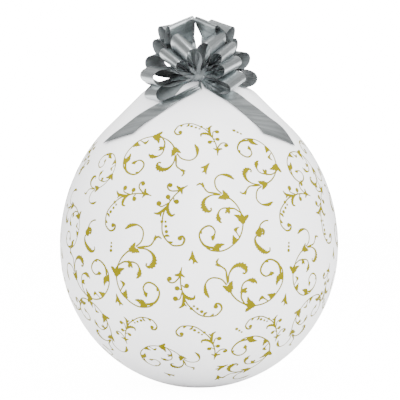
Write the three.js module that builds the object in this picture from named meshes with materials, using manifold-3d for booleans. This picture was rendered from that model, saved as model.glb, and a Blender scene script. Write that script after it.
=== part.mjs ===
// A round stuffing balloon: a clear latex balloon of 18 inches, blown up and tied at the neck, with a wide
// silver ribbon pulled up into a bow on the neck and its two tails laid over the shoulders.
// Millimetres, +Z up, the origin at the middle of the flat spot that the balloon stands on, front towards -Y.
import * as THREE from "three";
import { mergeVertices } from "three/addons/utils/BufferGeometryUtils.js";
import Module from "manifold-3d";

const wasm = await Module();
wasm.setup();

// Balloon, as it measures when blown up
const balloonDiameter = 457;
const bellyHeight = 229; // from the floor to the widest level
const flatSpotRadius = 45; // where its weight presses it flat
const crownReach = 259; // upper semi-axis of the egg that the top half follows
const crownEnd = 203; // height above the belly where the egg runs out into a cone
const coneRise = 47; // of the cone, which slopes at 45 degrees
const topRise = 38; // from the end of the cone up to the foot of the neck
const topFullness = 0.56; // how far the top carries the cone's slope on, as a share of its rise
const neckFunnel = 0.45; // how much of the rise is the funnel under the neck
const balloonSides = 48;
const lowerRings = 12;
const crownRings = 9;
const topRings = 7;

// Neck, gathered in pleats by the tie and flaring above it to the rolled rim of the mouth
const neckRadius = 7;
const pleatDepth = 1.2;
const pleatCount = 10;
const pleatReach = 26; // how far below the tie the pleats begin
const flareLength = 13; // from the tie's top up to the rolled rim
const rimRadius = 8.5;
const rimThickness = 2.6;

// Ribbon bow
const ribbonWidth = 50;
const ribbonThickness = 0.6;
const clearance = 0.6; // between the ribbon and the latex
const loopReach = 84; // from a loop's foot in the knot to its outer end
const loopBulge = 15.5; // from a loop's middle line to its flank, at the widest
const footGap = 0.9; // half the space between a loop's two feet
const gatheredWidth = 8; // the ribbon's width where the knot gathers it
const gatherLength = 65; // how far out of the knot the ribbon has spread to its full width
const loopSteps = 11;
const lowLoops = 12; // degrees of elevation under which a loop bends over the skin, with a facet more across

// Knot, tied at the front of the neck and resting on the shoulder, with the tie that runs round the neck
const knotSize = new THREE.Vector3(14, 16, 9.5); // half its width, depth and height
const knotForward = 62; // how far its middle is in front of the neck
const knotFall = 16; // how far its middle is below the foot of the neck
const knotSides = 12;
const knotRings = 4;
const tieHeight = 9;
const tieThickness = 5;
const tieArcSteps = 6; // round each end of the tie
const footShare = 0.55; // how far out in the knot the loops start

// Each loop leaves the knot towards azimuth (0 to the front, 90 to the right) and elevation, its ribbon
// rolled about that line. Reach and spread are its shares of loopReach and loopBulge. Lean is the share of
// loopReach by which its middle hangs over to one side.
const loops = [
  { azimuth: -22, elevation: 35, roll: -44, reach: 0.93, spread: 0.75 },
  { azimuth: -41, elevation: 21, roll: -31, reach: 0.83, spread: 0.62 },
  { azimuth: -62, elevation: 69, roll: -86, reach: 1.06, spread: 0.62, lean: -0.27 },
  { azimuth: -110, elevation: 61, roll: -32, reach: 1.11, spread: 0.72 },
  { azimuth: -119, elevation: 46, roll: -25, reach: 1.03, spread: 0.9 },
  { azimuth: -120, elevation: 23, roll: -16, reach: 1, spread: 1 },
  { azimuth: -64, elevation: -2, roll: -10, reach: 1.01, spread: 0.85 },
  { azimuth: -104, elevation: 3, roll: -12, reach: 0.95, spread: 0.8 },
  { azimuth: -70, elevation: -23, roll: -6, reach: 0.97, spread: 0.85 },
  { azimuth: 18, elevation: 66, roll: 114, reach: 1.05, spread: 0.62, lean: -0.32 },
  { azimuth: 94, elevation: 66, roll: 45, reach: 1.06, spread: 0.65 },
  { azimuth: 135, elevation: 48, roll: 7, reach: 0.98, spread: 0.75 },
  { azimuth: 25, elevation: 45, roll: 42, reach: 0.9, spread: 0.78 },
  { azimuth: 42, elevation: 31, roll: 31, reach: 0.84, spread: 0.62 },
  { azimuth: 50, elevation: 14, roll: 22, reach: 0.76, spread: 0.66 },
  { azimuth: 60, elevation: -11, roll: 25, reach: 0.78, spread: 0.66 },
  { azimuth: 126, elevation: 27, roll: 11, reach: 1, spread: 0.9 },
  { azimuth: 112, elevation: 1, roll: 6, reach: 1, spread: 0.9 },
  { azimuth: -156, elevation: 34, roll: -11, reach: 0.95, spread: 0.75 },
  { azimuth: 158, elevation: 33, roll: 11, reach: 0.95, spread: 0.75 },
];

// Tails: azimuth in degrees and share of tailDrop, at the start, middle and end of each edge
const tailDrop = 129; // of the lowest corner below the foot of the neck
const tails = [
  { low: [[3, 0.31], [-22, 0.558], [-37, 0.868]], high: [[0, 0.248], [-37, 0.558], [-57, 0.977]] },
  { low: [[5, 0.295], [27, 0.55], [36, 0.868]], high: [[17, 0.209], [47, 0.535], [56, 1]] },
];
const tailSteps = 12;
const tailStrips = 2; // facets across the ribbon
const tailLift = 2.1; // of a tail's middle over the latex, so that its flat facets clear the round skin

const degrees = Math.PI / 180;
const horizontal = (angle) => new THREE.Vector3(Math.sin(angle * degrees), -Math.cos(angle * degrees), 0);

// Outline of the balloon's skin, radius (x) and height (y), from the edge of the flat spot up to the neck
function skinOutline() {
  const belly = balloonDiameter / 2;
  const egg = (angle, reach) =>
    new THREE.Vector2(belly * Math.cos(angle), bellyHeight + reach * Math.sin(angle));
  const flatAngle = Math.acos(flatSpotRadius / belly);
  const crownAngle = Math.asin(crownEnd / crownReach);
  const lowerReach = bellyHeight / Math.sin(flatAngle);
  const lower = Array.from({ length: lowerRings }, (_, i) =>
    egg(flatAngle * (i / lowerRings - 1), lowerReach),
  );
  const crown = Array.from({ length: crownRings + 1 }, (_, i) =>
    egg((crownAngle * i) / crownRings, crownReach),
  );
  const coneFoot = crown[crownRings];
  const coneTop = new THREE.Vector2(coneFoot.x - coneRise, coneFoot.y + coneRise);
  const neckBottom = new THREE.Vector2(neckRadius, coneTop.y + topRise);
  const top = new THREE.CubicBezierCurve(
    coneTop,
    new THREE.Vector2(coneTop.x - topRise * topFullness, coneTop.y + topRise * topFullness),
    new THREE.Vector2(neckRadius, neckBottom.y - topRise * neckFunnel),
    neckBottom,
  );
  return [...lower, ...crown, ...top.getSpacedPoints(topRings)];
}

const skin = skinOutline();
const neckFoot = skin[skin.length - 1].y;
const knotCentre = new THREE.Vector3(0, -knotForward, neckFoot - knotFall);

// Height of the skin's upper side at a distance from the axis
function skinHeight(radius) {
  const next = skin.findIndex((point, i) => i > lowerRings && point.x <= radius);
  if (next < 0) return neckFoot;
  const [outer, inner] = [skin[next - 1], skin[next]];
  return THREE.MathUtils.mapLinear(radius, outer.x, inner.x, outer.y, inner.y);
}

// Distance from the axis to the skin's upper side at a height, or to the cone carried on over the flatter top
function skinRadius(height) {
  const coneTop = skin[skin.length - 1 - topRings];
  if (height > coneTop.y) return coneTop.x + coneTop.y - height;
  const next = skin.findIndex((point) => point.y >= height);
  const [lower, upper] = [skin[next - 1], skin[next]];
  return THREE.MathUtils.mapLinear(height, lower.y, upper.y, lower.x, upper.x);
}

// Upright solid of revolution from points that run up from the axis and back to it
function revolve(points, sides) {
  const geometry = new THREE.LatheGeometry(points, sides).rotateX(Math.PI / 2);
  geometry.deleteAttribute("normal");
  geometry.deleteAttribute("uv");
  return mergeVertices(geometry, 1e-3);
}

function toManifold(geometry) {
  return new wasm.Manifold(
    new wasm.Mesh({
      numProp: 3,
      vertProperties: new Float32Array(geometry.getAttribute("position").array),
      triVerts: new Uint32Array(geometry.index.array),
    }),
  );
}

function fromManifold(solid) {
  const { vertProperties, triVerts } = solid.getMesh();
  const geometry = new THREE.BufferGeometry();
  geometry.setAttribute("position", new THREE.Float32BufferAttribute(vertProperties, 3));
  geometry.setIndex(Array.from(triVerts));
  return geometry;
}

// Neck above the tie with its flare and rolled rim, grown by a margin
function neckOutline(margin) {
  const tieTop = neckFoot + clearance + tieHeight;
  const rimHeight = tieTop + flareLength;
  const rim = rimThickness / 2 + margin;
  const rimSteps = 4;
  const round = Array.from({ length: rimSteps + 1 }, (_, i) => {
    const angle = Math.PI * (i / rimSteps - 0.5);
    return new THREE.Vector2(rimRadius + rim * Math.cos(angle), rimHeight + rim * Math.sin(angle));
  });
  return [new THREE.Vector2(neckRadius + margin, tieTop), ...round, new THREE.Vector2(0, rimHeight + rim)];
}

// Folds the skin in and out round the tie, dying away down the shoulder
function pleat(geometry) {
  const position = geometry.getAttribute("position");
  const point = new THREE.Vector3();
  for (let i = 0; i < position.count; i += 1) {
    point.fromBufferAttribute(position, i);
    const away = Math.max(0, neckFoot - point.z) / pleatReach;
    const depth = pleatDepth * Math.max(0, 1 - away) ** 2;
    const radius = Math.hypot(point.x, point.y);
    const fold = depth * (0.5 - 0.5 * Math.cos(pleatCount * Math.atan2(point.y, point.x)));
    if (radius > depth) position.setXY(i, point.x * (1 - fold / radius), point.y * (1 - fold / radius));
  }
}

function balloonGeometry() {
  const geometry = revolve([new THREE.Vector2(0, 0), ...skin, ...neckOutline(0)], balloonSides);
  pleat(geometry);
  return geometry;
}

// Thin closed band. seat(i, share) gives the middle of its thickness and its normal, at each step along it
// and share of the way across it.
function bandGeometry(steps, strips, seat) {
  const vertices = [];
  const faces = [];
  const side = strips + 1;
  const row = 2 * side;
  for (let i = 0; i <= steps; i += 1) {
    for (const offset of [ribbonThickness / 2, -ribbonThickness / 2]) {
      for (let j = 0; j <= strips; j += 1) {
        const { point, normal } = seat(i, j / strips);
        vertices.push(...point.clone().addScaledVector(normal, offset).toArray());
      }
    }
  }
  const quad = (a, b, c, d) => faces.push(a, c, b, a, d, c);
  const last = steps * row;
  for (let here = 0; here < last; here += row) {
    const next = here + row;
    for (let j = 0; j < strips; j += 1) {
      quad(here + j, here + j + 1, next + j + 1, next + j);
      quad(here + side + j, next + side + j, next + side + j + 1, here + side + j + 1);
    }
    quad(here, next, next + side, here + side);
    quad(here + strips, here + side + strips, next + side + strips, next + strips);
  }
  for (let j = 0; j < strips; j += 1) {
    quad(j, side + j, side + j + 1, j + 1);
    quad(last + j, last + j + 1, last + side + j + 1, last + side + j);
  }
  const geometry = new THREE.BufferGeometry();
  geometry.setAttribute("position", new THREE.Float32BufferAttribute(vertices, 3));
  geometry.setIndex(faces);
  return geometry;
}

// Keeps a point of the ribbon off the skin below it
function aboveSkin(point) {
  const lowest = skinHeight(Math.hypot(point.x, point.y)) + (clearance + ribbonThickness) * Math.SQRT2;
  return point.setZ(Math.max(point.z, lowest));
}

// Teardrop loop whose two feet are in the knot
function loopGeometry({ azimuth, elevation, roll, reach, spread, lean = 0 }) {
  const rightward = horizontal(azimuth + 90);
  const along = horizontal(azimuth).multiplyScalar(Math.cos(elevation * degrees));
  along.z = Math.sin(elevation * degrees);
  const upward = along.clone().cross(rightward);
  const wide = rightward
    .multiplyScalar(Math.cos(roll * degrees))
    .addScaledVector(upward, Math.sin(roll * degrees));
  const sideways = along.clone().cross(wide);
  const foot = along.clone().multiply(knotSize).multiplyScalar(footShare).add(knotCentre);
  const length = reach * loopReach;
  const widest = spread * loopBulge;
  return bandGeometry(loopSteps, elevation < lowLoops ? 2 : 1, (i, share) => {
    const turn = (Math.PI * i) / loopSteps;
    const out = length * Math.sin(turn);
    const sag = lean * loopReach * (4 * Math.sin(turn) * (1 - Math.sin(turn))) ** 1.5;
    const bulge = widest * Math.sin(2 * turn) + footGap * Math.cos(turn) + sag;
    const opened = THREE.MathUtils.smoothstep(out, 0, reach * gatherLength);
    const width = THREE.MathUtils.lerp(gatheredWidth, ribbonWidth, opened);
    const point = foot
      .clone()
      .addScaledVector(along, out)
      .addScaledVector(sideways, bulge)
      .addScaledVector(wide, width * (share - 0.5));
    const swing = 2 * widest * Math.cos(2 * turn) - footGap * Math.sin(turn);
    const tangent = along.clone().multiplyScalar(length * Math.cos(turn)).addScaledVector(sideways, swing);
    return { point: aboveSkin(point), normal: tangent.cross(wide).normalize() };
  });
}

// Value at a share of the way along a smooth run through its start, middle and end
function through([start, middle, end], share) {
  return (
    start * (1 - share) * (1 - 2 * share) + 4 * middle * share * (1 - share) + end * share * (2 * share - 1)
  );
}

// End of the ribbon that comes out of the knot and lies on the skin
function tailGeometry({ low, high }) {
  const onSkin = (edge, along) => {
    const azimuth = through(edge.map(([angle]) => angle), along);
    const height = neckFoot - tailDrop * through(edge.map(([, share]) => share), along);
    return horizontal(azimuth).multiplyScalar(skinRadius(height)).setZ(height);
  };
  const toTheRight = high[2][0] > low[2][0];
  return bandGeometry(tailSteps, tailStrips, (i, share) => {
    const along = Math.max(0, (i - 1) / (tailSteps - 1));
    const fromLow = toTheRight ? share : 1 - share;
    const [lowPoint, highPoint] = [onSkin(low, along), onSkin(high, along)];
    const point = lowPoint.clone().lerp(highPoint, fromLow);
    const height = point.z;
    point.multiplyScalar(skinRadius(height) / Math.hypot(point.x, point.y)).setZ(height);
    const radius = Math.hypot(point.x, point.y);
    const fall = skinRadius(height - 1) - skinRadius(height + 1);
    const normal = new THREE.Vector3((2 * point.x) / radius, (2 * point.y) / radius, fall).normalize();
    point.addScaledVector(normal, tailLift);
    if (i > 0) return { point, normal };
    return { point: knotCentre.clone().lerp(point, 0.2), normal };
  });
}

function knotGeometry() {
  const outline = Array.from({ length: knotRings + 1 }, (_, i) => {
    const angle = Math.PI * (i / knotRings - 0.5);
    return new THREE.Vector2(Math.cos(angle), Math.sin(angle));
  });
  return revolve(outline, knotSides)
    .scale(...knotSize.toArray())
    .translate(...knotCentre.toArray());
}

// Flat belt round the neck, sloping down to the knot
function tieGeometry() {
  const around = (radius) => {
    const belt = new THREE.Path();
    belt.absarc(0, 0, radius, 0, Math.PI);
    belt.absarc(0, -knotForward, radius, Math.PI, 2 * Math.PI);
    return belt;
  };
  const inner = neckRadius + clearance;
  const belt = new THREE.Shape(around(inner + tieThickness).getPoints(tieArcSteps));
  belt.holes.push(around(inner));
  const geometry = new THREE.ExtrudeGeometry(belt, {
    depth: tieHeight,
    bevelEnabled: false,
    curveSegments: tieArcSteps,
  });
  geometry.deleteAttribute("normal");
  geometry.deleteAttribute("uv");
  const slope = new THREE.Matrix4().makeShear(0, 0, 0, knotFall / knotForward, 0, 0);
  return mergeVertices(geometry, 1e-3).translate(0, 0, neckFoot + clearance).applyMatrix4(slope);
}

// All of the ribbon in one, clear of the balloon, with any pocket that its folds shut in filled
function bowGeometry() {
  const grown = skin.map(({ x, y }) => new THREE.Vector2(x + clearance, y + clearance));
  const outline = [new THREE.Vector2(0, 0), ...grown, ...neckOutline(clearance)];
  const roomForBalloon = revolve(outline, balloonSides);
  const bands = [tieGeometry(), ...loops.map(loopGeometry), ...tails.map(tailGeometry)];
  const joined = bands.reduce((bow, band) => bow.add(toManifold(band)), toManifold(knotGeometry()));
  const shells = joined.subtract(toManifold(roomForBalloon)).decompose();
  return fromManifold(wasm.Manifold.union(shells.filter((shell) => shell.volume() > 0)));
}

function named(name, geometry, material) {
  const mesh = new THREE.Mesh(geometry, material);
  mesh.name = name;
  return mesh;
}

const latex = new THREE.MeshStandardMaterial({ color: 0xe6e6ea, roughness: 0.3, metalness: 0 });
const silverRibbon = new THREE.MeshStandardMaterial({ color: 0xa6abac, roughness: 0.35, metalness: 0.6 });

const model = new THREE.Group();
model.add(named("balloon", balloonGeometry(), latex));
model.add(named("ribbon_bow", bowGeometry(), silverRibbon));

export default model;
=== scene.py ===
import bpy, bmesh, math, random
from bisect import bisect_left
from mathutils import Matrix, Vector
from mathutils.geometry import delaunay_2d_cdt


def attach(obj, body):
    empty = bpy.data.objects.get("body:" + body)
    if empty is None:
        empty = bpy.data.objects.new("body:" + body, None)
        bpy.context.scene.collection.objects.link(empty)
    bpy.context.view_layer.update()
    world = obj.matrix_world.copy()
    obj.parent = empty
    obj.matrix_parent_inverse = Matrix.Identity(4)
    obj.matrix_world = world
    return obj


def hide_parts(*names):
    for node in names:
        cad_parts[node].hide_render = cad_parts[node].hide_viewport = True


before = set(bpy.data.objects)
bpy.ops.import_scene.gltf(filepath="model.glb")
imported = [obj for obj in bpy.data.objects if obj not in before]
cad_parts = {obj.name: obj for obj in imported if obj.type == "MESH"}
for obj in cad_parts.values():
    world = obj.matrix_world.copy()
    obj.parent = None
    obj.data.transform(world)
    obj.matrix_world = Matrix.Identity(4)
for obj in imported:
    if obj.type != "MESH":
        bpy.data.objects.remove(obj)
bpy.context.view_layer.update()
print("frame loaded")

# Camera, level with the middle of the photo, which is 0.66 m wide at the balloon's axis
camera = {"place": (0.0016, -2.2, 0.3036), "lens": 120, "sensor": 36}
eye = bpy.data.objects.new("camera", bpy.data.cameras.new("camera"))
eye.data.lens = camera["lens"]
eye.data.sensor_width = camera["sensor"]
eye.location = camera["place"]
eye.rotation_euler = (math.pi / 2, 0, 0)
bpy.context.collection.objects.link(eye)
bpy.context.scene.camera = eye


def smooth(low, high, value):
    t = min(1, max(0, (value - low) / (high - low)))
    return t * t * (3 - 2 * t)


def mix(a, b, t):
    return a + (b - a) * t


def horizontal(angle):  # unit vector at an azimuth in degrees, 0 to the front and 90 to the right
    return Vector((math.sin(math.radians(angle)), -math.cos(math.radians(angle)), 0))


def finishMesh(bm, name, materials):
    mesh = bpy.data.meshes.new(name)
    bm.to_mesh(mesh)
    bm.free()
    for material in materials:
        mesh.materials.append(material)
    mesh.shade_smooth()
    piece = bpy.data.objects.new(name, mesh)
    bpy.context.collection.objects.link(piece)
    return piece


# Materials. Nodes are placed with their settings and inputs, and an input is a value or another node's
# output. A Mix node's inputs go by number: 0 is the factor, 2 and 3 are two numbers, 6 and 7 two colours.
def addNode(tree, kind, inputs=None, **settings):
    node = tree.nodes.new("ShaderNode" + kind)
    for key, value in settings.items():
        setattr(node, key, value)
    for key, value in (inputs or {}).items():
        if isinstance(value, bpy.types.NodeSocket):
            tree.links.new(value, node.inputs[key])
        else:
            node.inputs[key].default_value = value
    return node


def startEffect(name, inputs):  # an empty node group with its named sockets
    group = bpy.data.node_groups.new(name, "ShaderNodeTree")
    outputs = [("Colour", "Color"), ("Roughness", "Float"), ("Height", "Float")]
    for way, sockets in (("INPUT", inputs), ("OUTPUT", outputs)):
        for label, kind in sockets:
            group.interface.new_socket(name=label, in_out=way, socket_type="NodeSocket" + kind)
    return group, group.nodes.new("NodeGroupInput").outputs


def endEffect(group, colour, roughness, height):
    result = group.nodes.new("NodeGroupOutput").inputs
    for label, value in (("Colour", colour), ("Roughness", roughness), ("Height", height)):
        group.links.new(value, result[label])
    return group


def patches(tree, vector, scale, detail):  # soft noise with its own scale along each axis
    placed = addNode(tree, "Mapping", {"Vector": vector, "Scale": scale})
    return addNode(tree, "TexNoise", {"Vector": placed.outputs[0], "Scale": 1, "Detail": detail}).outputs[0]


def spread(tree, value, low, high):  # noise keeps to its middle, so that is stretched to the whole range
    ends = {"Value": value, "From Min": 0.3, "From Max": 0.7, "To Min": low, "To Max": high}
    return addNode(tree, "MapRange", ends).outputs[0]


# The ribbon's patches in a metre, across it and along it, and their detail
film = {
    "threads": ((14, 900, 1), 2), "bands": ((5, 110, 1), 1.5), "creases": ((260, 14, 1), 3),
    "threadShare": 0.35, "creaseRise": 1.6, "shine": 0.07,
}
# The rubber's patches in a metre, and their detail
dippedRubber = {
    "clouds": ((13, 13, 9), 3), "grain": ((700, 700, 700), 2), "pulls": ((42, 42, 26), 2),
    "pullRise": 3, "shine": 0.04,
}


def satinStreaks():  # fine threads and broad soft bands across the ribbon, and faint folds along it
    group, given = startEffect("satinStreaks", [("Way", "Vector"), ("Dark", "Color"), ("Light", "Color")])
    threads = patches(group, given["Way"], *film["threads"])
    bands = patches(group, given["Way"], *film["bands"])
    creases = patches(group, given["Way"], *film["creases"])
    share = addNode(group, "Math", {0: threads, 1: film["threadShare"]}, operation="MULTIPLY").outputs[0]
    rest = {0: bands, 1: 1 - film["threadShare"], 2: share}
    share = addNode(group, "Math", rest, operation="MULTIPLY_ADD").outputs[0]
    colours = {0: spread(group, share, 0, 1), 6: given["Dark"], 7: given["Light"]}
    tone = addNode(group, "Mix", colours, data_type="RGBA").outputs[2]
    relief = {0: creases, 1: film["creaseRise"], 2: share}
    height = addNode(group, "Math", relief, operation="MULTIPLY_ADD").outputs[0]
    roughness = spread(group, share, film["shine"], -film["shine"])
    return endEffect(group, tone, roughness, height)


def rubberSkin():  # soft clouds in the colour, and the faint unevenness of dipped rubber
    group, given = startEffect("rubberSkin", [("Deep", "Color"), ("Pale", "Color")])
    place = addNode(group, "TexCoord").outputs["Object"]
    clouds = patches(group, place, *dippedRubber["clouds"])
    grain = patches(group, place, *dippedRubber["grain"])
    pulls = patches(group, place, *dippedRubber["pulls"])
    colours = {0: spread(group, clouds, 0, 1), 6: given["Deep"], 7: given["Pale"]}
    tone = addNode(group, "Mix", colours, data_type="RGBA").outputs[2]
    relief = {0: pulls, 1: dippedRubber["pullRise"], 2: grain}
    height = addNode(group, "Math", relief, operation="MULTIPLY_ADD").outputs[0]
    roughness = spread(group, pulls, -dippedRubber["shine"], dippedRubber["shine"])
    return endEffect(group, tone, roughness, height)


def newMaterial(name, group, colours, roughness, bump, **settings):
    material = bpy.data.materials.new(name)
    material.use_nodes = True
    tree = material.node_tree
    shader = tree.nodes["Principled BSDF"]
    for key, value in settings.items():
        shader.inputs[key.replace("_", " ")].default_value = value
    look = tree.nodes.new("ShaderNodeGroup")
    look.node_tree = group
    for key, colour in colours.items():
        look.inputs[key].default_value = (*colour, 1)
    if "Way" in look.inputs:
        way = addNode(tree, "UVMap", uv_map="ribbonWay").outputs[0]
        tree.links.new(way, look.inputs["Way"])
    strength, distance = bump
    rough = addNode(tree, "Math", {0: look.outputs["Roughness"], 1: roughness}, operation="ADD")
    height = look.outputs["Height"]
    relief = addNode(tree, "Bump", {"Height": height, "Strength": strength, "Distance": distance})
    tree.links.new(look.outputs["Colour"], shader.inputs["Base Color"])
    tree.links.new(rough.outputs[0], shader.inputs["Roughness"])
    tree.links.new(relief.outputs[0], shader.inputs["Normal"])
    return material


satin, rubber = satinStreaks(), rubberSkin()
silver = newMaterial("silverFilm", satin, {"Dark": (0.34, 0.37, 0.375), "Light": (0.69, 0.73, 0.74)},
                     roughness=0.33, bump=(0.5, 0.0004), Metallic=1)
# The film's matte inner side: its dark colours are painted shade, the shade inside the loops
shadedInside = newMaterial("filmInsidePaintedShade", satin, {"Dark": (0.12, 0.134, 0.138), "Light": (0.165, 0.182, 0.186)},
                     roughness=0.6, bump=(0.4, 0.0004), Specular_IOR_Level=0.3)
# The film's cut edge: a near-black colour, painted shade so that the rim shows no light
shadedEdge = newMaterial("filmEdgePaintedShade", satin, {"Dark": (0.035, 0.04, 0.041), "Light": (0.06, 0.066, 0.068)},
                      roughness=0.5, bump=(0.2, 0.0002), Specular_IOR_Level=0.3)
latex = newMaterial("milkyLatex", rubber, {"Deep": (0.82, 0.82, 0.84), "Pale": (0.87, 0.87, 0.88)},
                    roughness=0.34, bump=(0.25, 0.0002))
goldInk = newMaterial("goldInk", rubber, {"Deep": (0.12, 0.101, 0.0005), "Pale": (0.158, 0.133, 0.001)},
                      roughness=0.5, bump=(0.25, 0.0002), Specular_IOR_Level=0.02)
print("materials made")


# Outline of the balloon's skin, with the same measures as the solid
balloon = {
    "radius": 0.2285, "bellyHeight": 0.229, "flatSpot": 0.045,
    "crownReach": 0.259, "crownEnd": 0.203,  # the egg of the top half, and where it runs out into a cone
    "coneRise": 0.047, "topRise": 0.038, "topFullness": 0.56, "neckFunnel": 0.45,
    "neckRadius": 0.007, "neckAboveFoot": 0.0096, "flare": 0.013,
    "rimRadius": 0.0085, "rimThickness": 0.0026,
    "bellySteps": 48, "crownSteps": 36, "coneSteps": 5, "topSteps": 20, "sides": 180,
}


def skinProfile():  # (radius, height) from the edge of the flat spot to the foot of the neck
    b = balloon
    flatAngle = math.acos(b["flatSpot"] / b["radius"])
    lowerReach = b["bellyHeight"] / math.sin(flatAngle)
    crownAngle = math.asin(b["crownEnd"] / b["crownReach"])
    points = []
    for i in range(b["bellySteps"]):
        angle = flatAngle * (i / b["bellySteps"] - 1)
        points.append((b["radius"] * math.cos(angle), b["bellyHeight"] + lowerReach * math.sin(angle)))
    for i in range(b["crownSteps"] + 1):
        angle = crownAngle * i / b["crownSteps"]
        points.append((b["radius"] * math.cos(angle), b["bellyHeight"] + b["crownReach"] * math.sin(angle)))
    coneFoot = points[-1]
    coneTop = (coneFoot[0] - b["coneRise"], coneFoot[1] + b["coneRise"])
    foot = (b["neckRadius"], coneTop[1] + b["topRise"])
    for i in range(1, b["coneSteps"] + 1):
        share = i / b["coneSteps"]
        points.append((mix(coneFoot[0], coneTop[0], share), mix(coneFoot[1], coneTop[1], share)))
    reach = b["topRise"] * b["topFullness"]
    leaving = (coneTop[0] - reach, coneTop[1] + reach)
    arriving = (foot[0], foot[1] - b["topRise"] * b["neckFunnel"])
    corners = (coneTop, leaving, arriving, foot)
    for i in range(1, b["topSteps"] + 1):
        t = i / b["topSteps"]
        pulls = ((1 - t) ** 3, 3 * t * (1 - t) ** 2, 3 * t * t * (1 - t), t ** 3)
        points.append(tuple(sum(pull * corner[k] for pull, corner in zip(pulls, corners)) for k in (0, 1)))
    return points


profile = skinProfile()
profileTurns = [math.atan2(height - balloon["bellyHeight"], radius) for radius, height in profile]
neckFoot = profile[-1][1]
coneTopAt = balloon["bellySteps"] + balloon["crownSteps"] + balloon["coneSteps"]


def skinHeight(radius):  # of the upper side, at a distance from the axis
    upper = profile[balloon["bellySteps"]:]
    for (r0, z0), (r1, z1) in zip(upper, upper[1:]):
        if r1 <= radius:
            return z0 if r0 <= radius else mix(z0, z1, (r0 - radius) / (r0 - r1))
    return neckFoot


def skinRadius(height):  # of the upper side at a height, or of the cone carried on over the top
    coneTop = profile[coneTopAt]
    if height > coneTop[1]:
        return coneTop[0] + coneTop[1] - height
    for (r0, z0), (r1, z1) in zip(profile, profile[1:]):
        if z1 >= height:
            return mix(r0, r1, (height - z0) / (z1 - z0))


def skinAt(azimuth, elevation):  # point and normal at angles in degrees seen from the middle of the belly
    turn = math.radians(elevation)
    i = min(len(profile) - 2, max(0, bisect_left(profileTurns, turn) - 1))
    (r0, z0), (r1, z1) = profile[i], profile[i + 1]
    s, c = math.sin(turn), math.cos(turn)
    d0 = r0 * s - (z0 - balloon["bellyHeight"]) * c
    d1 = r1 * s - (z1 - balloon["bellyHeight"]) * c
    t = d0 / (d0 - d1)
    slopes = []
    for k in (i, i + 1):  # the outline's own direction at each end of the segment
        (ra, za), (rb, zb) = profile[max(0, k - 1)], profile[min(len(profile) - 1, k + 1)]
        slopes.append(Vector((zb - za, ra - rb)).normalized())
    slope = slopes[0].lerp(slopes[1], t)
    away = horizontal(azimuth)
    point = away * mix(r0, r1, t) + Vector((0, 0, mix(z0, z1, t)))
    return point, (away * slope.x + Vector((0, 0, slope.y))).normalized()


# Ribbon bow
ribbon = {
    "width": 0.05, "thickness": 0.0004,
    "clearance": 0.0006, "slopeStretch": 1.414,  # the gap to the skin, which is longer upright on the cone
    "loopReach": 0.084, "loopBulge": 0.0155, "footGap": 0.0009, "footShare": 0.55, "lengthPerReach": 2.2,
    "gatheredWidth": 0.008, "gatherLength": 0.065, "foldUse": 0.8, "foldCounts": (2.5, 3, 3.5),
    "foldsEnd": (0.3, 0.75), "rippleShare": 0.25, "rippleRate": 2.3, "ripplePhase": 3,
    "droop": 0.0015, "edgeWave": 0.0007, "edgeWaves": 1.4, "leanRounding": 1.5,
    "knotSize": (0.014, 0.016, 0.0095), "knotForward": 0.062, "knotFall": 0.016,
    "alongLoop": 44, "acrossRibbon": 16, "evenShade": 60,
}
tailShape = {
    "length": 0.2, "along": 60, "seed": 40, "fromKnot": 0.08, "knotShare": 0.2, "lift": 0.0026,
    "probe": 0.001,  # how far up and down the slope of the skin is read
    "wave": 0.0011, "waveRate": 11, "waveSlant": 2, "waveFrom": 0.3,
    "ripple": 0.0003, "rippleRate": 23, "rippleSlant": -4,
    "fold": 0.0014, "foldFade": 9, "folds": 2.6, "foldShift": 0.2,
}
knotCentre = Vector((0, -ribbon["knotForward"], neckFoot - ribbon["knotFall"]))

# Azimuth and elevation that each loop leaves the knot at, roll of its ribbon, share of the reach, share of
# the bulge, and how far its middle leans aside
loops = [
    (-22, 35, -44, 0.93, 0.75, 0), (-41, 21, -31, 0.83, 0.62, 0), (-62, 69, -86, 1.06, 0.62, -0.023),
    (-110, 61, -32, 1.11, 0.72, 0), (-119, 46, -25, 1.03, 0.9, 0), (-120, 23, -16, 1, 1, 0),
    (-64, -2, -10, 1.01, 0.85, 0), (-104, 3, -12, 0.95, 0.8, 0), (-70, -23, -6, 0.97, 0.85, 0),
    (18, 66, 114, 1.05, 0.62, -0.027), (94, 66, 45, 1.06, 0.65, 0), (135, 48, 7, 0.98, 0.75, 0),
    (25, 45, 42, 0.9, 0.78, 0), (42, 31, 31, 0.84, 0.62, 0), (50, 14, 22, 0.76, 0.66, 0),
    (60, -11, 25, 0.78, 0.66, 0), (126, 27, 11, 1, 0.9, 0), (112, 1, 6, 1, 0.9, 0),
    (-156, 34, -11, 0.95, 0.75, 0), (158, 33, 11, 0.95, 0.75, 0),
]
# Azimuth in degrees and drop in metres below the foot of the neck, at the start, middle and end of each edge
tails = [
    {"low": ((3, 0.040), (-22, 0.072), (-37, 0.112)), "high": ((0, 0.032), (-37, 0.072), (-57, 0.126))},
    {"low": ((5, 0.038), (27, 0.071), (36, 0.112)), "high": ((17, 0.027), (47, 0.069), (56, 0.129))},
]


def aboveSkin(point, margin):
    lowest = skinHeight(math.hypot(point.x, point.y)) + margin * ribbon["slopeStretch"]
    return Vector((point.x, point.y, max(point.z, lowest)))


def gather(share, width, folds, phase):  # height of the folds that take up the ribbon's spare width
    spare = math.sqrt(max(0, ribbon["width"] ** 2 - width ** 2))
    wave = math.sin(2 * math.pi * (folds * share + phase))
    finer = ribbon["rippleRate"] * folds * share + ribbon["ripplePhase"] * phase
    wave += ribbon["rippleShare"] * math.sin(2 * math.pi * finer)
    return ribbon["foldUse"] * spare / (4 * folds) * wave


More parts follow.
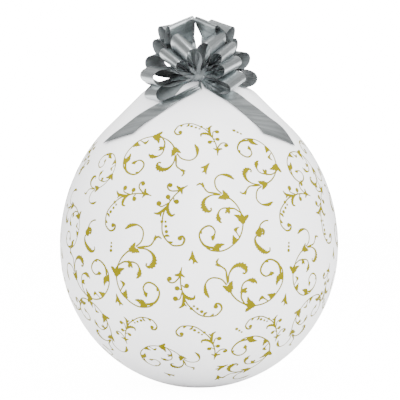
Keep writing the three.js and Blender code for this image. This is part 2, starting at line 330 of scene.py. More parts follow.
def ribbonStrip(bm, along, across, seat, runLength, runStart):  # a grid bent to the seat's shape
    way = bm.loops.layers.uv.get("ribbonWay") or bm.loops.layers.uv.new("ribbonWay")
    strip = bmesh.ops.create_grid(bm, x_segments=across, y_segments=along, size=0.5)["verts"]
    places = {vert: (vert.co.x + 0.5, vert.co.y + 0.5) for vert in strip}
    for face in {face for vert in strip for face in vert.link_faces}:
        for corner in face.loops:
            share, run = places[corner.vert]
            corner[way].uv = (share * ribbon["width"], run * runLength + runStart)
    for vert, (share, run) in places.items():
        vert.co = seat(run, share)


def addLoop(bm, azimuth, elevation, roll, reachShare, bulgeShare, lean, seed):
    dice = random.Random(seed)
    folds, phase = dice.choice(ribbon["foldCounts"]), dice.random()
    droop, shift = dice.uniform(-ribbon["droop"], ribbon["droop"]), dice.uniform(0, 1)
    rightward = horizontal(azimuth + 90)
    along = horizontal(azimuth) * math.cos(math.radians(elevation))
    along.z = math.sin(math.radians(elevation))
    upward = along.cross(rightward)
    wide = rightward * math.cos(math.radians(roll)) + upward * math.sin(math.radians(roll))
    sideways = along.cross(wide)
    foot = knotCentre + Vector([a * k for a, k in zip(along, ribbon["knotSize"])]) * ribbon["footShare"]
    length, widest = reachShare * ribbon["loopReach"], bulgeShare * ribbon["loopBulge"]

    def seat(run, share):
        turn = math.pi * run
        out = length * math.sin(turn)
        bulge = widest * math.sin(2 * turn) + ribbon["footGap"] * math.cos(turn)
        bulge += lean * (4 * math.sin(turn) * (1 - math.sin(turn))) ** ribbon["leanRounding"]
        opened = smooth(0, reachShare * ribbon["gatherLength"], out)
        width = mix(ribbon["gatheredWidth"], ribbon["width"], opened)
        swing = 2 * widest * math.cos(2 * turn) - ribbon["footGap"] * math.sin(turn)
        tangent = along * (length * math.cos(turn)) + sideways * swing
        normal = tangent.cross(wide).normalized()
        fold = gather(share, width, folds, phase) * (1 - smooth(*ribbon["foldsEnd"], out / length))
        side = 2 * share - 1  # from -1 at one edge to 1 at the other
        edge = ribbon["edgeWave"] * math.sin(2 * math.pi * (ribbon["edgeWaves"] * run + shift)) * side ** 2
        point = foot + along * (out + droop * side) + sideways * bulge + wide * width * (share - 0.5)
        point += normal * (fold + edge)
        return aboveSkin(point, ribbon["clearance"] + ribbon["thickness"])

    runLength = ribbon["lengthPerReach"] * length
    ribbonStrip(bm, ribbon["alongLoop"], ribbon["acrossRibbon"], seat, runLength, seed)
    return runLength


def through(values, share):  # a smooth run from the first value through the second to the third
    start, middle, end = values
    ends = start * (1 - share) * (1 - 2 * share) + 4 * middle * share * (1 - share)
    return ends + end * share * (2 * share - 1)


def addTail(bm, low, high, seed):
    t = tailShape
    toTheRight = high[2][0] > low[2][0]

    def onSkin(edge, run):
        azimuth = through([angle for angle, _ in edge], run)
        height = neckFoot - through([drop for _, drop in edge], run)
        return horizontal(azimuth) * skinRadius(height) + Vector((0, 0, height))

    def seat(run, share):
        way = max(0, (run - t["fromKnot"]) / (1 - t["fromKnot"]))
        lowPoint, highPoint = onSkin(low, way), onSkin(high, way)
        point = lowPoint.lerp(highPoint, share if toTheRight else 1 - share)
        height = point.z
        point *= skinRadius(height) / math.hypot(point.x, point.y)
        point.z = height
        radius = math.hypot(point.x, point.y)
        fall = skinRadius(height - t["probe"]) - skinRadius(height + t["probe"])
        outward = 2 * t["probe"] / radius
        normal = Vector((outward * point.x, outward * point.y, fall)).normalized()
        wave = t["wave"] * math.sin(t["waveRate"] * way + t["waveSlant"] * share + seed)
        wave += t["ripple"] * math.sin(t["rippleRate"] * way + t["rippleSlant"] * share)
        fold = t["fold"] * math.exp(-way * t["foldFade"])
        fold *= math.sin(2 * math.pi * (t["folds"] * share + t["foldShift"] * seed))
        point += normal * (t["lift"] + wave * smooth(0, t["waveFrom"], way) + fold)
        if run < t["fromKnot"]:  # the first stretch comes out of the knot
            centre = knotCentre.lerp(point, t["knotShare"])
            point = centre.lerp(point, run / t["fromKnot"])
        return point

    ribbonStrip(bm, t["along"], ribbon["acrossRibbon"], seat, t["length"], seed)
    return t["length"]


bm = bmesh.new()
total = 0
for number, loop in enumerate(loops):
    total += addLoop(bm, *loop, number + 1)
for number, tail in enumerate(tails):
    total += addTail(bm, tail["low"], tail["high"], tailShape["seed"] + number)
bow = finishMesh(bm, "ribbonBow", [shadedInside, silver, shadedEdge])
wall = bow.modifiers.new("film", "SOLIDIFY")
wall.thickness = ribbon["thickness"]
wall.offset = 0
wall.material_offset = 1  # silver outside, the inner side in its painted shade, and at the rim the edge's own material, a near-black painted shade
wall.material_offset_rim = 2
shade = bow.modifiers.new("evenShade", "WEIGHTED_NORMAL")
shade.weight = ribbon["evenShade"]  # the thin edge doesn't turn the film's shading
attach(bow, "root")
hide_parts("ribbon_bow")
print("bow made, ribbon length", round(total, 3))

# Knot and tie: the middle of the bow, drawn in by folds, and the band that holds it to the neck. The pattern
# measures are metres of ribbon from one pole of the knot or one edge of the tie, and round them.
knot = {
    "segments": 54, "rows": 20, "folds": 9, "foldDepth": 0.1, "foldTwist": 2, "foldFade": 0.8,
    "patternMiddle": 0.02, "patternRound": 0.014,
}
tie = {
    "height": 0.009, "wall": 0.005, "along": 72, "around": 14, "plies": 3, "plyDepth": 0.0004,
    "plyWander": 0.6, "wanderTurns": 3, "wallInset": 0.0006, "heightInset": 0.0004,
    "aboveFoot": 0.0045, "behindKnot": 0.004, "knotTurn": 0.0135, "neckGap": 0.0005,
    "patternMiddle": 0.02, "patternLength": 0.17, "mergeGap": 1e-6,
}


def mapRibbonWay(bm, place):  # the ribbon's own measures, from where a corner lies on the piece
    way = bm.loops.layers.uv.new("ribbonWay")
    for face in bm.faces:
        for corner in face.loops:
            corner[way].uv = place(corner.vert.co)


def knotWay(co):
    return knot["patternMiddle"] * (co.z + 1), knot["patternRound"] * math.atan2(co.x, -co.y)


def tieWay(co):
    return tie["patternMiddle"] * (co.y + 1), tie["patternLength"] * co.x


bm = bmesh.new()
bmesh.ops.create_uvsphere(bm, u_segments=knot["segments"], v_segments=knot["rows"], radius=1)
mapRibbonWay(bm, knotWay)
for vert in bm.verts:
    x, y, z = vert.co
    crease = math.cos(knot["folds"] * math.atan2(z, x) + knot["foldTwist"] * y) - 1
    fold = 1 + knot["foldDepth"] * crease * (1 - knot["foldFade"] * y * y)
    vert.co = knotCentre + Vector([a * b * fold for a, b in zip((x, y, z), ribbon["knotSize"])])
# The knot wears the inner side's dark colours, painted shade where it sits deep among the loops
bowKnot = finishMesh(bm, "bowKnot", [shadedInside])

bm = bmesh.new()
back = Vector((0, 0, neckFoot + tie["aboveFoot"]))
front = knotCentre + Vector((0, tie["behindKnot"], 0))
grid = bmesh.ops.create_grid(bm, x_segments=tie["along"], y_segments=tie["around"], size=0.5)["verts"]
mapRibbonWay(bm, tieWay)
for vert in grid:
    turn, roll = 360 * vert.co.x, 2 * math.pi * vert.co.y
    atKnot = abs(turn) < 90
    end = front if atKnot else back
    size = tie["knotTurn"] if atKnot else balloon["neckRadius"] + tie["neckGap"]
    wander = tie["plyWander"] * math.sin(math.radians(tie["wanderTurns"] * turn))
    ply = tie["plyDepth"] * math.cos(2 * math.pi * tie["plies"] * vert.co.y + wander)
    out = size + tie["wall"] / 2 + (tie["wall"] / 2 - tie["wallInset"]) * math.cos(roll) + ply
    rise = (tie["height"] / 2 - tie["heightInset"]) * math.sin(roll)
    vert.co = end + horizontal(turn) * out + Vector((0, 0, rise))
bmesh.ops.remove_doubles(bm, verts=bm.verts, dist=tie["mergeGap"])
bmesh.ops.recalc_face_normals(bm, faces=bm.faces)
neckTie = finishMesh(bm, "neckTie", [silver])
for piece in (bowKnot, neckTie):
    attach(piece, "root")
    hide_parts("ribbon_bow")
print("knot and tie made")

# Gold print on the skin. A stroke is a row of points with the width of the line there, a dot is a point and
# its radius, all in millimetres from the motif's centre, and the mark is the point that a placement aims.
motifs = {
    "scroll": {"mark": (24.6, 56.3), "dots": [], "strokes": [
        ((6.8, -9.9, 0.3), (7.1, -5.3, 5.4), (9.3, -1, 1.7), (10.2, 4.1, 1.3), (6.1, 10.2, 1.6),
         (0, 11.8, 1.9), (-7.2, 8.2, 1.8), (-12.3, 1, 1.5), (-11.6, -7.2, 1.8), (-6.5, -15.4, 2.6),
         (0, -19, 3.2), (8, -20, 2.4)),
        ((-11.4, 5.6, 0.6), (-10.2, 3.2, 2.8), (-9.6, -0.4, 0.3)),
        ((-2.4, -20, 0.8), (4.5, -23.6, 1.3), (17.4, -24.9, 1.1), (28, -21.5, 1.1), (36.9, -15.2, 1.1),
         (44.6, -7.6, 1.3), (49.7, 2.8, 1.1), (51.8, 14.3, 1.2), (51.6, 23, 2)),
        ((6.5, -22.8, 1.5), (13, -19, 7.4), (18.4, -15.8, 5), (24.2, -14.9, 0.3)),
        ((9.5, -20, 4), (13.6, -15.6, 4.4), (14.6, -13.4, 0.6)),
        ((10, -23, 5), (17, -22, 2.4)),
        ((35.6, -14, 1.5), (39, -9.4, 7), (37.6, -5, 3.8), (36.8, -1.2, 0.4)),
        ((38, -10, 4), (44.6, -7.8, 2)),
        ((46, -3.6, 0.5), (42, 2.6, 1.2), (40.4, 6, 4.6), (42.4, 8.8, 2.6), (46, 10.4, 0.3)),
        ((51.6, 15.4, 3), (51.6, 20, 8.5), (50.6, 25, 6.5), (48.8, 32, 1.1), (45.1, 39.3, 1.1),
         (40.2, 45.9, 1.2), (33.2, 52, 1.4), (25.4, 56.2, 3)),
        ((51, 20.6, 5), (45.6, 25.4, 5.6), (38.2, 28.2, 0.4)),
        ((50.6, 19.6, 4), (46.6, 20.8, 3.4), (44.4, 22.4, 0.5)),
        ((51.8, 20.2, 5), (56.2, 25, 5.4), (60.6, 28.8, 1.8)),
        ((51.8, 19.6, 4), (55, 17.8, 2.6)),
        ((27, 54.4, 7), (24.6, 60.4, 5), (22, 65.2, 0.3)),
        ((27, 54.6, 6), (20.4, 54.2, 6), (15, 52, 0.4)),
        ((25, 57, 6), (28, 56, 7), (30.4, 51.6, 2)),
        ((26, 57, 6), (28.8, 60.6, 1.2)),
        ((23, 53, 4), (27.4, 51.2, 2.2)),
        ((21, 59.6, 1.2), (14, 65.6, 1.1), (11.2, 72, 1.2), (10.8, 79.4, 1.2), (13.6, 85, 1.2),
         (19.5, 88.6, 1.3), (26, 88.8, 3.6), (33, 87, 4.6), (37.4, 83.8, 2.6), (40.2, 82.4, 0.3)),
        ((19, 58.4, 1.2), (9.2, 60.1, 2.1), (1, 61.5, 1.2), (-2.6, 64.4, 1.6), (-5.2, 68.4, 1.2),
         (-6.8, 71.6, 3.6), (-7.6, 76.6, 0.4)),
        ((-6.6, 72, 2), (-11.6, 74.4, 2.2), (-16.4, 71.6, 0.4)),
        ((17.4, 57.6, 1), (7, 57.3, 1.1), (0.6, 54.8, 1.8), (-4.4, 50.6, 3.6), (-6.8, 44.6, 5.4),
         (-6, 38.6, 7.6), (-2.4, 34.4, 6.6), (2.2, 32.9, 3), (5.2, 35.2, 1.4), (3.8, 38.2, 1.8)),
        ((49, 31, 1), (44.3, 34.6, 1.2), (38.7, 37.6, 1.4), (31, 37.9, 1.9), (23.7, 38.1, 1.2),
         (18.1, 35.6, 1.1), (15.2, 30.8, 1.8), (14.5, 25.8, 5), (15.8, 21.4, 6.4), (17.6, 17.8, 2.4),
         (20.4, 16.4, 0.4)),
        ((32.6, 39.8, 0.8), (29.4, 35.8, 5.6), (25.4, 30.2, 0.6)),
        ((29, 36, 4), (31, 32.4, 3.6), (30.2, 29.8, 0.6)),
    ]},
    "sprig": {"mark": (1.5, 73.7), "dots": [
        (0, 0, 2.9), (-14.5, 79.9, 2.8), (-17.7, 62, 3.1), (-31.7, 52.7, 3.4), (-4.6, 54.3, 3.1),
        (-26.8, 25.1, 1.9), (-21.2, 24.9, 1.2), (-20.8, 18.1, 1.6), (-20, 10.2, 2.1)], "strokes": [
        ((0.2, 2.2, 1.6), (3.6, 3.2, 2), (6.7, -1.6, 3), (5, -7.2, 2.3), (0.8, -10.4, 1.6),
         (-9.6, -10.6, 1.4), (-15.4, -7, 1.2), (-20, -2.4, 1.3), (-24.1, 3.6, 1.4), (-26.4, 10.8, 1.2),
         (-26.6, 21, 1.2), (-25.4, 33.3, 1.2), (-23.6, 39.4, 1.6), (-21, 45.6, 1.6), (-16.9, 51.7, 1.4),
         (-11.8, 58.9, 1.2), (-6.7, 65, 1), (-2.6, 68.6, 1.1), (1.5, 73, 2.6)),
        ((3.4, 65.2, 0.4), (2.6, 69.4, 3), (1.6, 73, 4.6), (-1.8, 75.2, 3.8), (-5, 78.4, 1.8)),
        ((0.6, 72.4, 3.6), (4.6, 75, 3.4), (7.6, 76.4, 1.2), (11.6, 78.8, 0.4)),
        ((0.6, 72, 2.6), (-3.4, 71, 1.5), (-12.8, 71, 1.3), (-17.6, 74.2, 1.6), (-18.9, 79, 1.8),
         (-16.4, 82.4, 2), (-13.6, 81.6, 2)),
        ((-17, 61, 1.6), (-14.4, 56, 1)),
        ((-31.4, 51.4, 1.6), (-30, 48.6, 1.1), (-26, 48.1, 1), (-16.6, 53, 0.9)),
        ((-5, 52.6, 1.6), (-7.4, 53.4, 1.1), (-8.8, 56.4, 1), (-8.9, 60.4, 0.8)),
        ((-15.4, 53.8, 0.6), (-17.6, 48.6, 3), (-18.2, 43, 4.4), (-16.4, 37.4, 4.6), (-12, 33.6, 3.4),
         (-7, 36, 0.6)),
        ((-20.5, 47.6, 0.5), (-26.1, 41.5, 3.6), (-32.3, 37.6, 3.8), (-39.6, 38.8, 0.4)),
        ((-27, 41, 2.4), (-28.9, 36.6, 2.4), (-28.7, 32.6, 0.4)),
        ((-23.6, 3.4, 1), (-19, 4.4, 3.4), (-15.2, 3, 0.4)),
        ((-17.6, -4.6, 1), (-13.6, -6, 3.2), (-10.6, -5, 0.4)),
    ]},
    "hook": {"mark": (9.7, 23.2), "dots": [], "strokes": [
        ((9.7, 23.2, 1), (4.3, 22.8, 1.2), (-2.2, 18.9, 1.2), (-5.1, 14.2, 1.6), (-5, 9, 7),
         (-5.6, 3, 8), (-8.6, -1, 3)),
        ((-2, 12, 1), (1.2, 7, 4), (0.6, 1, 0.6)),
        ((-6, 10, 2), (-10.6, 5, 3.6), (-11.4, 1.6, 0.5)),
        ((-7, 3, 1.4), (-12.4, -2, 1.8), (-13, -7, 3), (-10.4, -13, 4.6), (-5, -18.6, 6),
         (1.4, -22.6, 6.2), (7.6, -24, 3.4), (12, -21, 1.4), (11.6, -16.4, 0.8)),
    ]},
    "bird": {"mark": (0, 9), "dots": [], "strokes": [
        ((0, 9, 0.3), (0.8, 2, 4.4), (3.2, -3.6, 4.4), (9, -8.6, 0.8)),
        ((0.6, 1.6, 4), (-2.4, -3.2, 2.6), (-4.4, -6, 0.4)),
        ((2.4, -2.6, 3), (3.2, -7, 2.6), (2, -10.4, 0.4)),
    ]},
    "beads": {"mark": (5.9, 0), "dots": [(0, 0, 2), (5.9, 0, 1.4), (11.2, 0, 1.05)], "strokes": []},
}
# The turns that repeat a motif, its name, and its placements: azimuth and elevation of its centre and of its
# mark, in degrees seen from the middle of the belly, and whether it is turned over. The upper rows go up to
# five times round, the lowest twice, and motifs near the edges of the photo's balloon are placed once.
fiveTimes, twice, onceOnly = (0, 72, 144, 216, 288), (0, 180), (0,)
rows = [
    ((0, 72, 144, 216), "scroll", (
        (3.4, 6.1, 10.1, 20.4, 0), (27.3, -7.1, 11.6, -14.1, 1), (22.3, 38.8, 27.5, 24.9, 1))),
    ((144, 216, 288), "scroll", ((-24.5, 32.6, -9.5, 38.2, 1), (-19.2, -15.5, -25.4, 0.4, 1))),
    (onceOnly, "scroll", (
        (-28.3, 32.1, -11, 38.4, 1), (-19.2, -15.5, -25.4, 0.4, 1), (49, 28.6, 64, 31, 1),
        (-50.2, 34.2, -47.6, 23.4, 1), (-64.4, 3.9, -64.6, 16.6, 0), (-43.4, -7.3, -59.2, -10.9, 1),
        (51.6, -12.4, 45.1, 0.1, 1))),
    (fiveTimes, "sprig", (
        (-7.1, 4.5, -7.2, 23.1, 0), (-35.1, 9.2, -21.8, 21.4, 0), (6.8, -21.6, -7.2, -8.9, 0))),
    ((0, 144, 216), "sprig", ((-9.9, 47.1, 8.9, 38.9, 0),)),
    (onceOnly, "sprig", ((-86, 41, -68, 32, 0), (67, 40, 85, 31, 0))),
    (fiveTimes, "hook", ((24.9, 5.2, 27.6, 11, 0),)),
    (fiveTimes, "bird", (
        (2.8, 31.8, 4.6, 33.4, 0), (-2.6, -2.4, -2.5, -0.1, 0), (37, -19.4, 37.1, -17.1, 0))),
    (fiveTimes, "beads", ((19.2, 48, 21, 47.2, 0), (36.4, -0.4, 36.5, 1.1, 0))),
    (twice, "scroll", (
        (-27.8, -50, -9.5, -46.3, 1), (21.5, -42.2, 34.6, -55.9, 1), (62.1, -25.6, 50.2, -35, 0),
        (-60.7, -27.2, -48.4, -37.5, 1), (91, -51, 109, -46, 1))),
    (twice, "sprig", (
        (-21.1, -30.8, -38.6, -37.6, 1), (23.2, -30.5, 40.6, -36.5, 0), (-7.8, -33.6, 9, -44.9, 0),
        (93, -31, 84, -19, 0))),
    (twice, "bird", ((-23.6, -59, -26, -57.4, 0), (14.5, -52.2, 18, -51, 0), (16.2, -61, 14, -59, 1))),
    (twice, "beads", ((16.9, -31.5, 18.3, -32.3, 0),)),
]
# Millimetres that every line and berry is thicker by, and the lobed edges of broad leaves
leaf = {
    "weight": 0.82, "line": 1.4, "berry": 0.8, "berrySides": 12,
    "lobe": 3.4, "lobeMiddle": 0.45, "cut": 0.6, "from": (3.2, 5), "closer": 0.45,
}


def spline(points, step):  # smooth row of points through the given ones, about a step apart
    ends = (points[0],) + tuple(points) + (points[-1],)
    row = []
    for p, a, b, q in zip(ends, ends[1:], ends[2:], ends[3:]):
        closer = leaf["closer"] if max(a[2], b[2]) > leaf["from"][0] else 1
        pieces = max(1, round(math.dist(a[:2], b[:2]) / step / closer))
        for i in range(pieces):
            t = i / pieces
            pulls = (t * (-1 + t * (2 - t)) / 2, 1 + t * t * (1.5 * t - 2.5),
                     t * (1 + t * (4 - 3 * t)) / 2, t * t * (t - 1) / 2)
            row.append(tuple(sum(pull * end[k] for pull, end in zip(pulls, (p, a, b, q))) for k in range(3)))
    return row + [tuple(points[-1])]


def motifOutline(motif, step):  # points, the lines round its shapes, and the small shapes that hold its ink
    points, lines, shapes = [], [], []
    for stroke in motif["strokes"]:
        row = spline(stroke, step)
        first = len(points)
        run = 0
        for i, (x, y, width) in enumerate(row):
            (x0, y0, _), (x1, y1, _) = row[max(0, i - 1)], row[min(len(row) - 1, i + 1)]
            run += math.dist((x, y), (x0, y0))
            lobes = abs(math.sin(math.pi * run / leaf["lobe"])) - leaf["lobeMiddle"]
            width *= leaf["weight"] + leaf["cut"] * lobes * smooth(*leaf["from"], width)
            half = (width + leaf["line"]) / 2 / math.hypot(x1 - x0, y1 - y0)
            asideX, asideY = (y1 - y0) * half, (x1 - x0) * half
            points += [(x - asideX, y + asideY), (x + asideX, y - asideY)]
        last = len(points) - 2
        lines += [(first, first + 1), (last, last + 1)]
        for at in range(first, last, 2):
            lines += [(at, at + 2), (at + 1, at + 3)]
            shapes.append((at, at + 1, at + 3, at + 2))
    for x, y, radius in motif["dots"]:
        first, sides = len(points), leaf["berrySides"]
        for i in range(sides):
            angle = 2 * math.pi * i / sides
            size = radius + leaf["berry"]
            points.append((x + size * math.cos(angle), y + size * math.sin(angle)))
            lines.append((first + i, first + (i + 1) % sides))
        shapes.append(tuple(range(first, first + sides)))
    return points, lines, shapes


def placeMotif(points, mark, placement):  # the motif's points as azimuth and elevation in degrees
    azimuth, elevation, aimAzimuth, aimElevation, flipped = placement
    spot, out = skinAt(azimuth, elevation)
    right = horizontal(azimuth + 90)
    up = out.cross(right)
    # Seen from the point on the axis straight behind its spot, a motif keeps its shape
    centre = spot - out * math.hypot(spot.x, spot.y) / math.hypot(out.x, out.y)
    aim = (skinAt(aimAzimuth, aimElevation)[0] - centre).normalized()
    side = -1 if flipped else 1
    turn = math.atan2(aim.dot(up), aim.dot(right)) - math.atan2(mark[1], side * mark[0])
    scale = out.angle(aim) / math.hypot(*mark)
    seen = [math.atan2(height - centre.z, radius) for radius, height in profile[:-3]]  # short of the neck
    placed = []
    for x, y in points:
        angle, arc = math.atan2(y, side * x) + turn, math.hypot(x, y) * scale
        way = out * math.cos(arc) + (right * math.cos(angle) + up * math.sin(angle)) * math.sin(arc)
        level = math.asin(way.z)
        i = min(len(seen) - 2, max(0, bisect_left(seen, level) - 1))
        t = (level - seen[i]) / (seen[i + 1] - seen[i])
        radius, height = (mix(profile[i][k], profile[i + 1][k], t) for k in (0, 1))
        turned = math.degrees(math.atan2(way.x, -way.y)) - azimuth
        rise = math.degrees(math.atan2(height - balloon["bellyHeight"], radius))
        placed.append(((turned + 180) % 360 - 180 + azimuth, rise))
    return placed


# Skin with its print. The band that carries the print is laid flat in degrees and cut up along the print's
# outlines, and the rest is turned. The step along the strokes is in millimetres.
skinMesh = {
    "bandFrom": 5, "bandTo": coneTopAt - 2, "cellAngle": 4, "clear": 1.0, "inkStep": 2.0,
    "flatGap": 1e-5,  # degrees
    "mergeGap": 2e-6, "bandGap": 1e-5,  # metres
}
pleats = {
    "count": 18, "depth": 0.0011, "fullBelowFoot": 0.004, "wander": 1.3, "wanderTurns": 3,
    "axisFade": 0.005, "axisGap": 1e-4,
}
# Shares of the neck's radius and heights over its foot, and radii and depths under the rim's top
neck = {
    "waist": ((0.93, 0.002), (0.9, 0.005), (0.93, 0.0085)), "flareFrom": 0.001, "flareSteps": 5,
    "flareCurve": 1.5, "flareInset": 0.0008, "rollFrom": -100, "rollTurn": 250, "rollSteps": 12,
    "mouth": ((0.0052, 0.003), (0.0034, 0.0062), (0.0014, 0.009), (0, 0.0096)),
}


def layOutPrint():  # every motif's points, outline lines and ink shapes, in degrees round and up
    points, lines, shapes = [], [], []
    for turns, name, placements in rows:
        local, outline, ink = motifOutline(motifs[name], skinMesh["inkStep"])
        for placement in placements:
            home = placeMotif(local, motifs[name]["mark"], placement)
            for turn in turns:
                placed = [(azimuth + turn, elevation) for azimuth, elevation in home]
                middle = sum(azimuth for azimuth, _ in placed) / len(placed)
                back = -360 * round(middle / 360)
                reach = [azimuth + back for azimuth, _ in placed]
                shifts = [back] + [back + 360] * (min(reach) < -180) + [back - 360] * (max(reach) > 180)
                for shift in shifts:  # a motif on the seam is laid at both of its ends
                    first = len(points)
                    points += [(azimuth + shift, elevation) for azimuth, elevation in placed]
                    lines += [(first + a, first + b) for a, b in outline]
                    shapes += [tuple(first + i for i in shape) for shape in ink]
    return points, lines, shapes


def inTriangle(point, a, b, c):
    sides = []
    for p, q in ((a, b), (b, c), (c, a)):
        sides.append((q[0] - p[0]) * (point[1] - p[1]) - (q[1] - p[1]) * (point[0] - p[0]))
    return all(side >= 0 for side in sides) or all(side <= 0 for side in sides)


def inkCells(points, shapes):  # the ink triangles that reach into each one-degree cell
    cells = {}
    for shape in shapes:
        for i, j in zip(shape[1:], shape[2:]):
            corners = [points[k] for k in (shape[0], i, j)]
            low = [math.floor(min(corner[k] for corner in corners)) for k in (0, 1)]
            high = [math.floor(max(corner[k] for corner in corners)) for k in (0, 1)]
            for x in range(low[0], high[0] + 1):
                for y in range(low[1], high[1] + 1):
                    cells.setdefault((x, y), []).append(corners)
    return cells


def printedBand(bm):  # the band's triangles, with the ink's own cut out along its edges
    points, lines, shapes = layOutPrint()
    cells = inkCells(points, shapes)
    near = {(round(x / skinMesh["clear"]), round(y / skinMesh["clear"])) for x, y in points}
    heights = [math.degrees(turn) for turn in profileTurns[skinMesh["bandFrom"]:skinMesh["bandTo"] + 1]]
    heights = heights[:-1:2] + heights[-1:]
    fine, coarse = 360 // balloon["sides"], skinMesh["cellAngle"]
    for number, height in enumerate(heights):
        edge = number in (0, len(heights) - 1)
        previous = None
        for azimuth in range(-180, 181, fine if edge else coarse):
            if not edge and abs(azimuth) != 180:
                azimuth += coarse / 2 * (number % 2)
                cell = (round(azimuth / skinMesh["clear"]), round(height / skinMesh["clear"]))
                if any((cell[0] + i, cell[1] + j) in near for i in (-1, 0, 1) for j in (-1, 0, 1)):
                    continue
            points.append((azimuth, height))
            if edge and previous is not None:
                lines.append((previous, len(points) - 1))
            previous = len(points) - 1
    corners = [points.index((side, heights[end])) for side in (-180, 180) for end in (0, -1)]
    lines += [(corners[0], corners[1]), (corners[2], corners[3])]
    flat = delaunay_2d_cdt([Vector(point) for point in points], lines, [], 0, skinMesh["flatGap"])
    places, triangles = flat[0], flat[2]
    verts = {}
    for triangle in triangles:
        centre = sum((places[i] for i in triangle), Vector((0, 0))) / 3
        if abs(centre.x) > 180 or not heights[0] < centre.y < heights[-1]:
            continue
        for i in triangle:
            if i not in verts:
                verts[i] = bm.verts.new(skinAt(*places[i])[0])
        face = bm.faces.new([verts[i] for i in triangle])
        around = cells.get((math.floor(centre.x), math.floor(centre.y)), ())
        face.material_index = 1 if any(inTriangle(centre, *corners) for corners in around) else 0
    return len(points)


def turned(bm, outline):
    verts = [bm.verts.new((0, -radius, height)) for radius, height in outline]
    edges = [bm.edges.new(pair) for pair in zip(verts, verts[1:])]
    bmesh.ops.spin(bm, geom=verts + edges, cent=(0, 0, 0), axis=(0, 0, 1), angle=2 * math.pi,
                   steps=balloon["sides"], use_merge=True)


def neckOutline():  # from the foot of the neck over the rolled rim and down into the closed mouth
    b = balloon
    top = neckFoot + b["neckAboveFoot"] + b["flare"]
    flareFoot = neckFoot + b["neckAboveFoot"] + neck["flareFrom"]
    points = [(b["neckRadius"] * share, neckFoot + rise) for share, rise in neck["waist"]]
    points.append((b["neckRadius"], flareFoot))
    for i in range(1, neck["flareSteps"] + 1):
        t = i / neck["flareSteps"]
        radius = mix(b["neckRadius"], b["rimRadius"] - neck["flareInset"], t ** neck["flareCurve"])
        points.append((radius, mix(flareFoot, top - b["rimThickness"], t)))
    roll = b["rimThickness"] / 2
    for i in range(neck["rollSteps"] + 1):  # the roll, seen from below outwards
        angle = math.radians(neck["rollFrom"] + neck["rollTurn"] * i / neck["rollSteps"])
        points.append((b["rimRadius"] - roll + roll * math.cos(angle), top - roll + roll * math.sin(angle)))
    return points + [(radius, top - depth) for radius, depth in neck["mouth"]]


bm = bmesh.new()
turned(bm, [(0, 0)] + profile[:skinMesh["bandFrom"] + 1])
turned(bm, profile[skinMesh["bandTo"]:] + neckOutline())
inkPoints = printedBand(bm)
bmesh.ops.remove_doubles(bm, verts=bm.verts, dist=skinMesh["mergeGap"])
bmesh.ops.recalc_face_normals(bm, faces=bm.faces)
coneTopHeight = profile[coneTopAt][1]
for vert in bm.verts:  # pleats drawn together under the tie
    x, y, height = vert.co
    if height > coneTopHeight:
        azimuth = math.atan2(x, -y)
        radius = math.hypot(x, y)
        depth = pleats["depth"] * smooth(coneTopHeight, neckFoot - pleats["fullBelowFoot"], height)
        wander = pleats["wander"] * math.sin(pleats["wanderTurns"] * azimuth)
        wave = math.sin(pleats["count"] * azimuth + wander)
        push = -depth * (0.5 + 0.5 * wave) * min(1, radius / pleats["axisFade"])
        vert.co.x *= 1 + push / max(radius, pleats["axisGap"])
        vert.co.y *= 1 + push / max(radius, pleats["axisGap"])
bandLow, bandHigh = profile[skinMesh["bandFrom"]][1], profile[skinMesh["bandTo"]][1]
skin = finishMesh(bm, "printedBalloon", [latex, goldInk])
normals = []
for vert in skin.data.vertices:  # the band is shaded by the outline's own curve, whatever its triangles are
    x, y, z = vert.co
    onBand = bandLow - skinMesh["bandGap"] < z < bandHigh + skinMesh["bandGap"]
    turn = math.degrees(math.atan2(z - balloon["bellyHeight"], math.hypot(x, y)))
    normals.append(skinAt(math.degrees(math.atan2(x, -y)), turn)[1] if onBand else (0, 0, 0))
skin.data.normals_split_custom_set_from_vertices(normals)
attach(skin, "root")
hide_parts("balloon")
print("skin made with", inkPoints, "points and", len(skin.data.polygons), "faces")

# Floor and lights. The floor and the air round it show as plain white to the camera alone.
studio = {
    "backdrop": 18, "floorGlow": 13, "room": 3.5, "gloss": 0.5,
    "floorSize": 12, "floorColour": (0.85, 0.85, 0.85, 1), "floorRoughness": 0.95, "white": (1, 1, 1, 1),
}
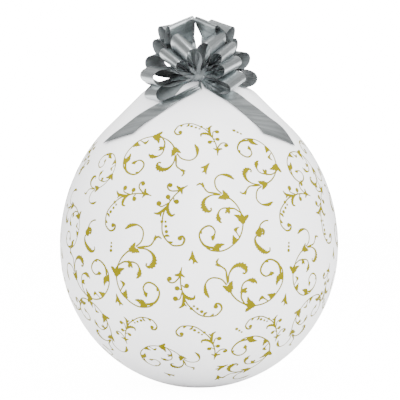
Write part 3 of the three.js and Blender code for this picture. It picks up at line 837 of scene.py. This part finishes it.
# Place, the point that it faces, width and height in metres, and power in watts
softBoxes = {
    "frontBox": ((0.35, -2.6, 1.1), (0, 0, 0.3), (1.6, 1.2), 60),
    "rightBox": ((1.7, -1.2, 1.1), (0, 0, 0.35), (0.5, 1.4), 14),
    "topBox": ((0, -0.3, 2.0), (0, 0, 0.4), (0.8, 0.8), 10),
    "backBox": ((0, 1.1, 2.2), (0, 0, 0.45), (3.2, 1.2), 5),
}


def forCamera(tree, shown, otherwise):  # a value that only the camera's own rays see
    path = addNode(tree, "LightPath")
    return addNode(tree, "Mix", {0: path.outputs["Is Camera Ray"], 2: otherwise, 3: shown}).outputs[0]


floorMaterial = bpy.data.materials.new("paleFloor")
floorMaterial.use_nodes = True
floorShader = floorMaterial.node_tree.nodes["Principled BSDF"]
floorShader.inputs["Base Color"].default_value = studio["floorColour"]
floorShader.inputs["Roughness"].default_value = studio["floorRoughness"]
floorShader.inputs["Emission Color"].default_value = studio["white"]
glow = forCamera(floorMaterial.node_tree, studio["floorGlow"], 0.0)
floorMaterial.node_tree.links.new(glow, floorShader.inputs["Emission Strength"])
bm = bmesh.new()
bmesh.ops.create_grid(bm, x_segments=1, y_segments=1, size=studio["floorSize"])
floor = finishMesh(bm, "floor", [floorMaterial])

world = bpy.data.worlds.new("studio")
bpy.context.scene.world = world
world.use_nodes = True
air = world.node_tree
background = air.nodes["Background"]
background.inputs["Color"].default_value = studio["white"]
path = addNode(air, "LightPath")
strengths = {0: path.outputs["Is Glossy Ray"], 2: studio["room"], 3: studio["gloss"]}
room = addNode(air, "Mix", strengths).outputs[0]
air.links.new(forCamera(air, studio["backdrop"], room), background.inputs["Strength"])

for name, (place, target, size, power) in softBoxes.items():
    light = bpy.data.lights.new(name, "AREA")
    light.shape = "RECTANGLE"
    light.size, light.size_y = size
    light.energy = power
    box = bpy.data.objects.new(name, light)
    box.location = place
    box.rotation_euler = (Vector(target) - Vector(place)).to_track_quat("-Z", "Y").to_euler()
    bpy.context.collection.objects.link(box)
print("floor and lights placed")
